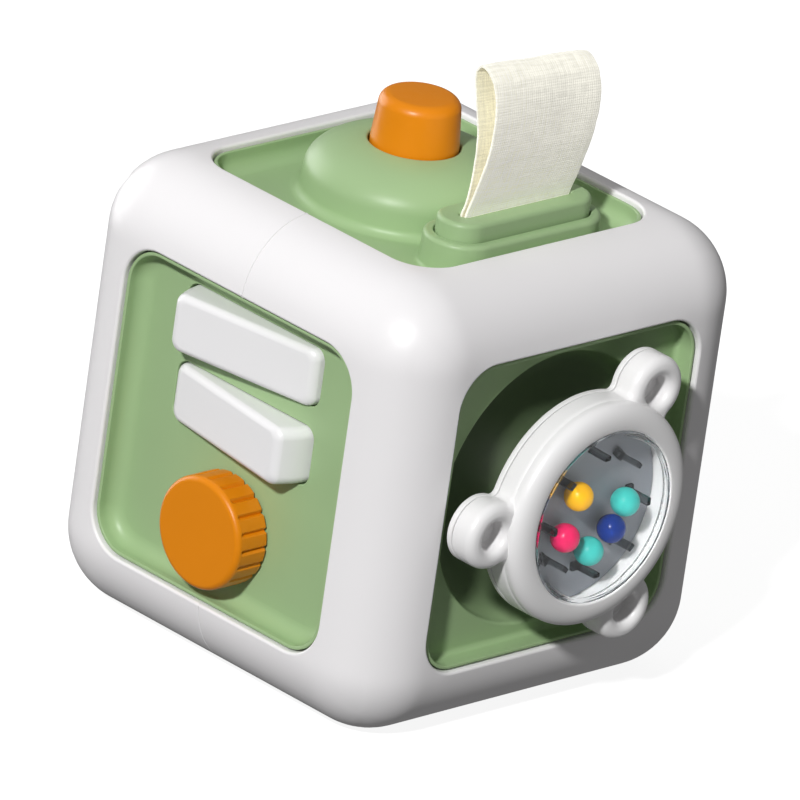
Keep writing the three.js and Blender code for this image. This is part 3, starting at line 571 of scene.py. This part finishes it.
def thicken(obj, cutter):
    """Gives a frame half its wall, soft seam edges and, on the left, the screw wells."""
    obj.modifiers.clear()
    wall = obj.modifiers.new("wall", "SOLIDIFY")
    wall.thickness, wall.offset = 1.8 * MM, -1
    soft = obj.modifiers.new("soft", "BEVEL")
    soft.width, soft.segments, soft.limit_method = 0.12 * MM, 2, "ANGLE"
    soft.angle_limit = math.radians(60)
    tool = None
    if cutter:
        tool = build("screw_wells_tool", cutter, "left", WHITE, "cube", tidy=False)
        cut = obj.modifiers.new("wells", "BOOLEAN")
        cut.operation, cut.object, cut.solver = "DIFFERENCE", tool, "EXACT"
    bpy.context.view_layer.update()
    made = bpy.data.meshes.new_from_object(obj.evaluated_get(bpy.context.evaluated_depsgraph_get()))
    obj.modifiers.clear()
    obj.data = made
    made.materials.clear()
    made.materials.append(WHITE)
    made.set_sharp_from_angle(angle=math.radians(38))
    normals = obj.modifiers.new("normals", "WEIGHTED_NORMAL")
    normals.keep_sharp = True
    if not tool:
        return
    bpy.data.objects.remove(tool)
    wells = Form()
    for v in (-POST_AT, POST_AT):
        for u in (-POST_AT, POST_AT):
            path = [(SCREW_HOLE_R, 0), (SCREW_HOLE_R, 44), (SCREW_HOLE_R, 26.1), (1.9, 26.1)]
            for i in wells.turn(path, 40, u, v)[0]:
                a, b, _ = wells.points[i]
                reach = EDGE**2 - (abs(a) - HALF + EDGE) ** 2 - (abs(b) - HALF + EDGE) ** 2
                wells.points[i] = (a, b, HALF - EDGE + math.sqrt(reach) - 0.25)
    build("screw_wells", wells, "left", WHITE, "cube")


# ---- panels ---------------------------------------------------------------------------------
def tray(form, holes=(), back_holes=(), cove=3.4):
    """A panel: back, flange, rim, coved tray and floor. holes are rings on the floor."""
    outline = rect(RIM_HALF, RIM_HALF, OPEN_R - 0.4, n=10)
    out = FLANGE_HALF - RIM_HALF
    path = rounded(
        [
            (-out, BACK, 0),
            (-out, FLANGE_TOP, 0.2),
            (0, FLANGE_TOP, 0.2),
            (0, RIM_TOP, 0.35),
            (RIM_WIDE, RIM_TOP, 0.3),
            (RIM_WIDE, FLOOR, cove),
            (RIM_WIDE + cove + 0.3, FLOOR, 0),
        ],
        7,
    )
    first, last = form.loft(outline, path)
    form.fill(last, holes)
    form.fill(first, back_holes, up=False)


def quarter_lip(soft, top, steps=5):
    """A hole's rounded edge as a path of (inset, w), from the face at w = top down into the hole."""
    turn = [k / steps * math.pi / 2 for k in range(steps + 1)]
    return [(-soft * (1 - math.sin(a)), top - soft * (1 - math.cos(a))) for a in turn]


def hole_ring(form, outline, lip=0.35, to=BACK):
    """A hole through the floor with a rounded edge: its ring on the floor and on the back."""
    top, low = form.loft(outline, [*quarter_lip(lip, FLOOR), (0, to)])
    return list(reversed(top)), list(reversed(low))


def make_panels():
    for side in ("back", "left", "bottom"):
        form = Form()
        tray(form)
        build(side + "_tray", form, side, GREEN, "cube", [side + "_panel"])

    form = Form()
    rings = [
        hole_ring(form, rect(KEY_WINDOW_HALF, KEY_WINDOW_V, KEY_WINDOW_R, 0, v, 6)) for v in KEY_V.values()
    ]
    rings.append(hole_ring(form, circle(5.2, 0, KNOB_V, 32), 0.3))
    tray(form, [r[0] for r in rings], [r[1] for r in rings])
    build("front_tray", form, "front", GREEN, "cube", ["front_panel"])
    make_right_panel()
    make_top_panel()


def make_right_panel():
    form = Form()
    lip, dish_wide, dish_deep = 0.8, 9, 6.2
    wide = form.ring(circle(WELL_R, n=120)(-lip), FLOOR)
    behind = form.ring(circle(WELL_R + 1.8, n=120)(0), BACK)
    tray(form, [wide], [behind], 1.3)
    path = [(WELL_R - d, w) for d, w in quarter_lip(lip, FLOOR)]
    # the dished side, then the flat middle
    path += [
        (WELL_R - dish_wide + dish_wide * math.cos(a), WELL_FLOOR + dish_deep - dish_deep * math.sin(a))
        for a in (i / 12 * math.pi / 2 for i in range(1, 13))
    ]
    path += [(7.6, WELL_FLOOR), (7.4, WELL_FLOOR - 0.1), (5.0, WELL_FLOOR - 0.1), (5.0, 36.6), (8.0, 36.6)]
    path += [(8.0, 39.6), (WELL_R - 6, 39.6), (WELL_R + 1.8, 44.8), (WELL_R + 1.8, BACK)]
    form.turn(path, 120)
    build("right_tray", form, "right", WELL_GREEN_PAINTED_SHADE, "cube", ["right_panel"])


def make_top_panel():
    form = Form()
    tray(form)
    build("top_tray", form, "top", GREEN, "cube", ["top_panel"])

    # the dome, with a hollow rounding where it leaves the floor, and the button's hole
    side = DOME_R
    path = [(side + 2.4, FLOOR - 0.15), (side + 2.4, FLOOR + 0.01)]
    foot = [(side + 2.4, FLOOR + 0.01, 0), (side, FLOOR + 0.05, 2.3), (side - 0.26, DOME_SHOULDER, 0)]
    path += rounded(foot, 12)[1:]
    wide, high = side - 0.28 - DOME_TOP_R, DOME_TOP - DOME_SHOULDER
    last = math.acos((BUTTON_HOLE_R + 0.9 - DOME_TOP_R) / wide)
    path += [
        (DOME_TOP_R + wide * math.cos(a), DOME_SHOULDER + high * math.sin(a))
        for a in (last * i / 24 for i in range(1, 25))
    ]
    r, w = path[-1]
    path += rounded([(r, w, 0), (BUTTON_HOLE_R, w + 0.1, 0.6), (BUTTON_HOLE_R, 60.9, 0)], 5)[1:]
    path += [(side - 2.6, 58.8), (side - 2.6, BACK), (side + 2.6, BACK), (side + 2.6, FLOOR - 0.15)]
    dome = Form()
    dome.turn(path, 144, DOME_U, 0)
    build("dome", dome, "top", GREEN, "cube", ["top_panel"])

    # the bezel's lower step, round the upper step's insert
    low = Form()
    outline = rect(LOW_HALF_U, LOW_HALF_V, LOW_HALF_U - 0.01, BEZEL_U, 0, 16)
    first, last = low.loft(
        outline,
        rounded(
            [
                (-1.2, FLOOR - 0.2, 0),
                (-1.2, FLOOR + 0.02, 0.02),
                (-0.1, FLOOR + 0.04, 0.9),
                (0.05, LOW_TOP, 1.1),
                (LOW_HALF_U - HIGH_HALF_U - 0.5, LOW_TOP, 0.2),
                (LOW_HALF_U - HIGH_HALF_U - 0.3, LOW_TOP - 0.3, 0),
                (LOW_HALF_U - HIGH_HALF_U - 0.3, FLOOR - 0.2, 0),
            ],
            7,
        ),
    )
    low.bridge(last, first)
    build("bezel_lower_step", low, "top", GREEN, "cube", ["top_panel"])

    high = Form()
    outline = rect(HIGH_HALF_U, HIGH_HALF_V, HIGH_HALF_U - 0.01, BEZEL_U, 0, 16)
    first, last = high.loft(
        outline, rounded([(0, FLOOR - 3, 0), (0, HIGH_TOP, 1.15), (3.6, HIGH_TOP, 0)], 8)
    )
    slot = rect(SLOT_HALF_U, SLOT_HALF_V, SLOT_HALF_U - 0.01, BEZEL_U, 0, 8)
    top, bottom = high.loft(slot, [*quarter_lip(0.5, HIGH_TOP), (0, FLOOR - 3)])
    high.fill(last, [list(reversed(top))])
    high.fill(first, [list(reversed(bottom))], up=False)
    build("bezel_upper_step", high, "top", GREEN, "cube", ["ribbon_bezel"])


# ---- keys, knob, button ---------------------------------------------------------------------
def make_keys():
    for name, v in KEY_V.items():
        form = Form()
        tilt = math.radians(KEY_TILT[name])
        c, s = math.cos(tilt), math.sin(tilt)
        soft = 1.7
        path = [(-KEY_BACK, 0.0), (0.0, 0.0), (3.0, 0.0), (5.0, 0.0)]
        path += [
            (KEY_FACE - soft + soft * math.sin(a), soft - soft * math.cos(a))
            for a in (i / 8 * math.pi / 2 for i in range(9))
        ]
        rings = []
        for h, d in path:
            long = math.sqrt(KEY_END_R**2 - h * h) - d
            outline = rect(long, KEY_HALF_V - d, 2.6 - 0.45 * d, n=8)(0)
            first = len(form.points)
            form.points += [(a * c - h * s, v + b, KEY_PIVOT + a * s + h * c) for a, b in outline]
            rings.append(list(range(first, len(form.points))))
        for a, b in zip(rings, rings[1:]):
            form.bridge(a, b)
        form.faces.append(tuple(rings[-1]))
        form.faces.append(tuple(reversed(rings[0])))
        build(name + "_shell", form, "front", KEY_WHITE, name, [name], 45)


def make_knob():
    form = Form()
    side = rounded(
        [
            (KNOB_R - 1.2, KNOB_BASE, 0),
            (KNOB_R, KNOB_BASE, 0.5),
            (KNOB_R, KNOB_TOP - 2.2, 0),
            (KNOB_R, KNOB_TOP - 1.4, 0),
            (KNOB_R, KNOB_TOP, 1.4),
            (KNOB_R - 3.4, KNOB_TOP - 0.02, 0),
        ],
        8,
    )
    deep, wide = 0.8, 0.17  # groove depth in mm and half width as a share of the pitch
    shares = [0, 0.05, 0.1, 0.14, wide, 0.22, 0.36, 0.5, 0.64, 0.78, 1 - wide, 0.86, 0.9, 0.95]

    def groove(t):
        t = min(t, 1 - t)
        return (1 - t / wide) ** 1.1 if t < wide else 0.0

    rings = []
    for r, w in side:
        fade = max(0.0, min(1.0, (KNOB_TOP - 1.3 - w) / 0.9))
        ring = []
        for k in range(KNOB_GROOVES):
            for share in shares:
                a = 2 * math.pi * (k + share) / KNOB_GROOVES
                rr = r - deep * groove(share) * fade
                ring.append((rr * math.cos(a), KNOB_V + rr * math.sin(a)))
        rings.append(form.ring(ring, w))
    for a, b in zip(rings, rings[1:]):
        form.bridge(a, b)
    form.faces.append(tuple(rings[-1]))
    form.faces.append(tuple(reversed(rings[0])))
    build("knob_cap", form, "front", ORANGE, "knob", ["knob"], 42)


def make_button():
    form = Form()
    top_r = BUTTON_R - 0.95
    path = [(0, BUTTON_TOP - 1.6), (8.2, BUTTON_TOP - 1.8), (8.6, 58.7)]
    path += [(BUTTON_R + 1.9, 58.7), (BUTTON_R + 1.9, 60), (BUTTON_R, 60)]
    side = [(BUTTON_R, 62, 0), (BUTTON_R, DOME_TOP + 0.2, 8)]
    path += rounded([*side, (top_r, BUTTON_TOP, 2.7), (4, BUTTON_TOP + 0.18, 0)], 10)
    path += [(2, BUTTON_TOP + 0.22), (0, BUTTON_TOP + 0.24)]
    form.turn(path, 96, DOME_U, 0)
    build("button_cap", form, "top", ORANGE, "push_button", ["push_button"], 45)


# ---- ribbon ---------------------------------------------------------------------------------
ROD_W, ROUND_ROD_R = 41.0, 2.85
RIBBON_HALF, RIBBON_T = 16.2, 0.7
# the two hanging sides and the fold, as (u from the slot, w) along the ribbon's middle line
LEFT = [(-0.65, 55), (-0.6, 60.5), (0.3, 63.7), (1.1, 69), (1.4, 77)]
LEFT += [(0.7, 82.4), (-0.7, 87), (-2, 92), (-2.3, 95)]
RIGHT = [(0.65, 55), (0.7, 60.5), (2.5, 66.7), (4.2, 72.8), (5.3, 78), (5.6, 84), (5.1, 89.8), (3.7, 94)]
FOLD = [(-2.3, 95), (-1, 96.6), (1.3, 96.3), (3.7, 94)]


def spline(points, n):
    """n steps of a Catmull-Rom curve through the points."""
    p = [Vector(q) for q in points]
    out = []
    for k in range(n + 1):
        t = k / n * (len(p) - 1)
        i = min(int(t), len(p) - 2)
        t -= i
        a, b, c, d = p[max(i - 1, 0)], p[i], p[i + 1], p[min(i + 2, len(p) - 1)]
        square, cube = 2 * a - 5 * b + 4 * c - d, 3 * b - a - 3 * c + d
        out.append(0.5 * (2 * b + (c - a) * t + square * t**2 + cube * t**3))
    return out


def make_ribbon():
    left, right, fold = spline(LEFT, 70), spline(RIGHT, 70), spline(FOLD, 20)[1:-1]
    rod = [
        Vector((ROUND_ROD_R * math.cos(math.radians(a)), ROD_W + ROUND_ROD_R * math.sin(math.radians(a))))
        for a in (75 - 330 * i / 32 for i in range(33))
    ]
    line = [*left, *fold, *reversed(right), *rod]
    n = len(line)
    along, lengths = 0.0, []
    for i, p in enumerate(line):
        if i:
            along += (p - line[i - 1]).length
        lengths.append(along)
    columns = 26
    form = Form()
    form.uvs = []
    cross = []  # the band's section: up the outside, round the edge, back down the inside
    for k in range(columns + 1):
        cross.append((-RIBBON_HALF + 2 * RIBBON_HALF * k / columns, 1.0))
    for k in range(columns, -1, -1):
        cross.append((-RIBBON_HALF + 2 * RIBBON_HALF * k / columns, -1.0))
    for i, p in enumerate(line):
        d = (line[(i + 1) % n] - line[i - 1]).normalized()
        normal = Vector((-d.y, d.x))
        free = max(0.0, min(1.0, (p.y - 62) / 20))
        for v, side in cross:
            share = (v + RIBBON_HALF) / (2 * RIBBON_HALF)
            wave = noise.noise(Vector((v * 0.09, lengths[i] * 0.055, 3.1))) * 0.55 * free
            edge = 0.16 * noise.noise(Vector((lengths[i] * 0.35, 7.7, v)))
            thin = 0.72 if min(share, 1 - share) < 0.001 else 1.0
            q = p + normal * (side * RIBBON_T / 2 * thin + wave)
            w = q.y - max(0.0, q.y - 61) * 0.055 * share
            form.points.append((BEZEL_U + q.x + 0.25 * share * free, v + edge * free, w))
            form.uvs.append((v, lengths[i]))
    m = len(cross)
    for i in range(n):
        j = (i + 1) % n
        for k in range(m):
            l = (k + 1) % m
            form.faces.append((i * m + k, i * m + l, j * m + l, j * m + k))
    strap = build("ribbon_strap", form, "top", RIBBON, "cube", ["ribbon_loop"], 60, tidy=False)
    strap.data.materials.append(RIBBON_INSIDE_SHADED)
    # the loop's inside faces take the darker copy with less painted glow
    for face in strap.data.polygons:
        face.material_index = int(columns < face.index % m < m - 1)


# ---- rattle disc ----------------------------------------------------------------------------
def make_disc():
    outline = lobed()
    # rear cover with its hub
    cover = Form()
    first, last = cover.loft(
        outline, rounded([(1.2, DISC_BACK, 0), (0, DISC_BACK, 0.6), (0, 58.6, 0.2), (0.8, 58.6, 0)], 5)
    )
    hub = cover.turn([(8.5, DISC_BACK), (7.0, 50), (6.2, 44.3), (2.8, 44.3), (2.8, 56.5), (0, 56.5)], 96)
    cover.fill(last)
    cover.fill(first, [hub[0]], up=False)
    build("disc_rear_cover", cover, "right", DISC_WHITE, "spinner", ["spinner_rear_cover"])

    # the heads of the cover's three screws
    heads = Form()
    for a in COVER_SCREW_ANGLES:
        u, v = COVER_SCREWS_AT * math.cos(math.radians(a)), COVER_SCREWS_AT * math.sin(math.radians(a))
        heads.turn([(0, 56.75), (1.2, 56.78), (1.65, 56.9), (1.65, 57.3), (0, 57.3)], 24, u, v)
    screws = ["spinner_cover_screw_" + k for k in "123"]
    build("cover_screw_heads", heads, "right", STEEL, "spinner", screws)

    # body with the ears: full round rims and blind holes
    body = Form()
    path = rounded([(0.9, 58.9, 0), (0, 58.9, 0.25), (0, EAR_TOP, 2.4), (2.6, EAR_TOP, 0)], 10)
    path = [p for p in path if p[0] <= 2.25 or p[1] < EAR_TOP - 0.05]
    path[-1] = (2.3, EAR_TOP)
    first, last = body.loft(outline, path)
    ears = []
    for a in EAR_ANGLES:
        u, v = EAR_AT * math.cos(math.radians(a)), EAR_AT * math.sin(math.radians(a))
        mouth = circle(EAR_HOLE_R, u, v, 48)
        rim = quarter_lip(1.9, EAR_TOP, 8)
        top, low = body.loft(mouth, [*rim, (0, 60.7), (0.3, 60.4), (1.2, 60.4)])
        body.faces.append(tuple(low))
        ears.append(list(reversed(top)))
    well = circle(22.9, n=96)
    top, low = body.loft(well, [(0, EAR_TOP), (0, 58.9)])
    body.fill(last, [*ears, list(reversed(top))])
    body.fill(first, [list(reversed(low))], up=False)
    build("disc_body", body, "right", DISC_WHITE, "spinner", ["spinner_body"], 40)

    ring = Form()
    path = [(23.0, 63.25)]
    path += rounded([(23.0, 63.25, 0), (26.75, 63.25, 0.45), (26.85, 64.6, 0)], 5)[1:]
    path += [
        (22.0 + 4.85 * math.cos(a) ** 0.92, 64.6 + (DISC_FRONT - 64.6) * math.sin(a) ** 0.92)
        for a in (i / 14 * math.pi / 2 for i in range(1, 15))
    ]
    path += rounded([(22.0, DISC_FRONT, 0), (WINDOW_R, DISC_FRONT - 0.12, 0.5), (WINDOW_R, 66.9, 0)], 5)[1:]
    path += [(23.0, 66.9), (23.0, 63.25)]
    ring.turn(path, 144)
    build("disc_front_ring", ring, "right", DISC_WHITE, "spinner", ["spinner_front_ring"], 40)

    tray_form = Form()
    tray_form.turn(
        rounded([(0, 58.9, 0), (22.6, 58.9, 0), (22.6, 59.9, 0.3), (14, 59.8, 0), (0, 59.8, 0)], 4), 96
    )
    build("disc_tray", tray_form, "right", GREY, "spinner", ["spinner_tray"])
    make_window()
    make_beads()


def make_window():
    """The clear plate with its flange under the front ring, and the posts that pen the beads."""
    form = Form()
    form.turn(
        rounded(
            [
                (0, 67.3, 0),
                (12, 67.2, 0),
                (19.6, 66.9, 0.3),
                (20.2, 65.4, 0),
                (22.6, 65.4, 0.1),
                (22.6, 66.6, 0.1),
                (20.55, 66.6, 0.1),
                (20.55, 68.15, 0.45),
                (19.5, 68.25, 0.15),
                (19.3, 67.95, 0.15),
                (17.8, 68.1, 2.0),
                (10, 68.45, 0),
                (0, 68.6, 0),
            ],
            5,
        ),
        128,
    )
    build("disc_window", form, "right", CLEAR, "spinner", ["spinner_window"], 35, tidy=False)

    posts = Form()
    for i in range(WINDOW_POSTS):
        a = math.radians(FIRST_POST_ANGLE + 360 / WINDOW_POSTS * i)
        c, s = math.cos(a), math.sin(a)
        # a flat post and its wider foot: inner and outer radius, half width, bottom and top
        for r0, r1, half, w0, w1 in ((13.9, 15.1, 0.95, 60.0, 67.15), (13.6, 15.7, 1.6, 59.95, 60.9)):
            first, last = posts.loft(
                rect((r1 - r0) / 2, half, 0.25, 0, 0, 3),
                [(0.1, w0), (0, w0 + 0.1), (0, w1 - 0.1), (0.1, w1)],
            )
            for k in range(first[0], last[-1] + 1):
                u, v, w = posts.points[k]
                u += (r0 + r1) / 2
                posts.points[k] = (u * c - v * s, u * s + v * c, w)
            posts.faces.append(tuple(last))
            posts.faces.append(tuple(reversed(first)))
    build("window_posts", posts, "right", SMOKED, "spinner", ["spinner_window"], 35, tidy=False)


def make_beads():
    for name, material in BEADS.items():
        lo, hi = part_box(name)
        middle = (lo + hi) / 2 - CENTRE
        form = Form()
        path = []
        for k in range(41):
            a = -math.pi / 2 + math.pi * k / 40
            r = BEAD_R - 0.05 * math.exp(-((a / 0.03) ** 2))  # faint parting line
            path.append((r * math.cos(a) if 0 < k < 40 else 0, middle.x / MM + r * math.sin(a)))
        form.turn(path, 64, middle.y / MM, middle.z / MM)
        build(name + "_ball", form, "right", material, name, [name], 60)


# ---- carried-over CAD nodes -----------------------------------------------------------------
def dress_cad_nodes():
    """Materials for the CAD nodes that no piece replaces."""
    steel_words = ("spring", "screw", "washer", "axle", "rod")
    for name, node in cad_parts.items():
        if node.hide_render:
            continue
        if any(word in name for word in steel_words):
            material = STEEL
        else:
            material = RUBBER if "bellows" in name else NATURAL
        node.data.materials.clear()
        node.data.materials.append(material)


# ---- stage ----------------------------------------------------------------------------------
# azimuth, elevation and roll in degrees, then the aim past the cube's centre and the distance in mm
CAMERA_TURN = (-46.751, 22.488, 8.183)
CAMERA_AIM, CAMERA_FAR = Vector((-0.07, 0.92, 1.73)), 3768
CAMERA_LENS = 749.6
# name, strength, spread in degrees and direction towards the lamp
LAMPS = (
    ("key_light", 2.85, 4, (0.34, -0.74, 0.58)),
    ("left_light", 1.75, 45, (-0.98, -0.05, 0.1)),
    ("sky_light", 0.25, 90, (0, 0, 1)),
)


def make_stage():
    floor_mat = Nodes("floor")
    pale, paler = (0.34, 0.34, 0.34), (0.36, 0.36, 0.36)
    floor_mat.mix(floor_mat.noise(3, 2), pale, paler, floor_mat.shader.inputs["Base Color"])
    floor_mat.set(Roughness=0.9, Emission_Color=(1, 1, 1, 1), Emission_Strength=0.86)
    bpy.ops.mesh.primitive_plane_add(size=30)
    floor = bpy.context.object
    floor.name = "floor"
    floor.location.z = -0.0002
    floor.data.materials.append(floor_mat.material)
    floor.visible_diffuse = floor.visible_glossy = False

    bpy.context.scene.view_settings.view_transform = "Standard"
    world = bpy.context.scene.world or bpy.data.worlds.new("studio")
    bpy.context.scene.world = world
    world.use_nodes = True
    world.node_tree.nodes["Background"].inputs["Color"].default_value = (1, 1, 1, 1)
    world.node_tree.nodes["Background"].inputs["Strength"].default_value = 0.16

    for name, strength, spread, direction in LAMPS:
        lamp = bpy.data.objects.new(name, bpy.data.lights.new(name, "SUN"))
        lamp.data.energy = strength
        lamp.data.angle = math.radians(spread)
        bpy.context.scene.collection.objects.link(lamp)
        lamp.location = CENTRE + Vector(direction).normalized() * 2
        lamp.rotation_mode = "QUATERNION"
        lamp.rotation_quaternion = Vector(direction).to_track_quat("Z", "Y")

    camera = bpy.data.objects.new("camera", bpy.data.cameras.new("camera"))
    bpy.context.scene.collection.objects.link(camera)
    azimuth, elevation, roll = (math.radians(a) for a in CAMERA_TURN)
    back = Vector((math.cos(azimuth), math.sin(azimuth), 0)) * math.cos(elevation) + Z * math.sin(elevation)
    level = Z.cross(back).normalized()
    right = level * math.cos(roll) + back.cross(level) * math.sin(roll)
    camera.location = CENTRE + (CAMERA_AIM + back * CAMERA_FAR) * MM
    camera.rotation_mode = "QUATERNION"
    camera.rotation_quaternion = Matrix((right, back.cross(right), back)).transposed().to_quaternion()
    camera.data.sensor_width = 36
    camera.data.lens = CAMERA_LENS
    camera.data.clip_start, camera.data.clip_end = 0.1, 60
    bpy.context.scene.camera = camera


make_frame()
make_panels()
make_keys()
make_knob()
make_button()
make_ribbon()
make_disc()
dress_cad_nodes()
make_stage()
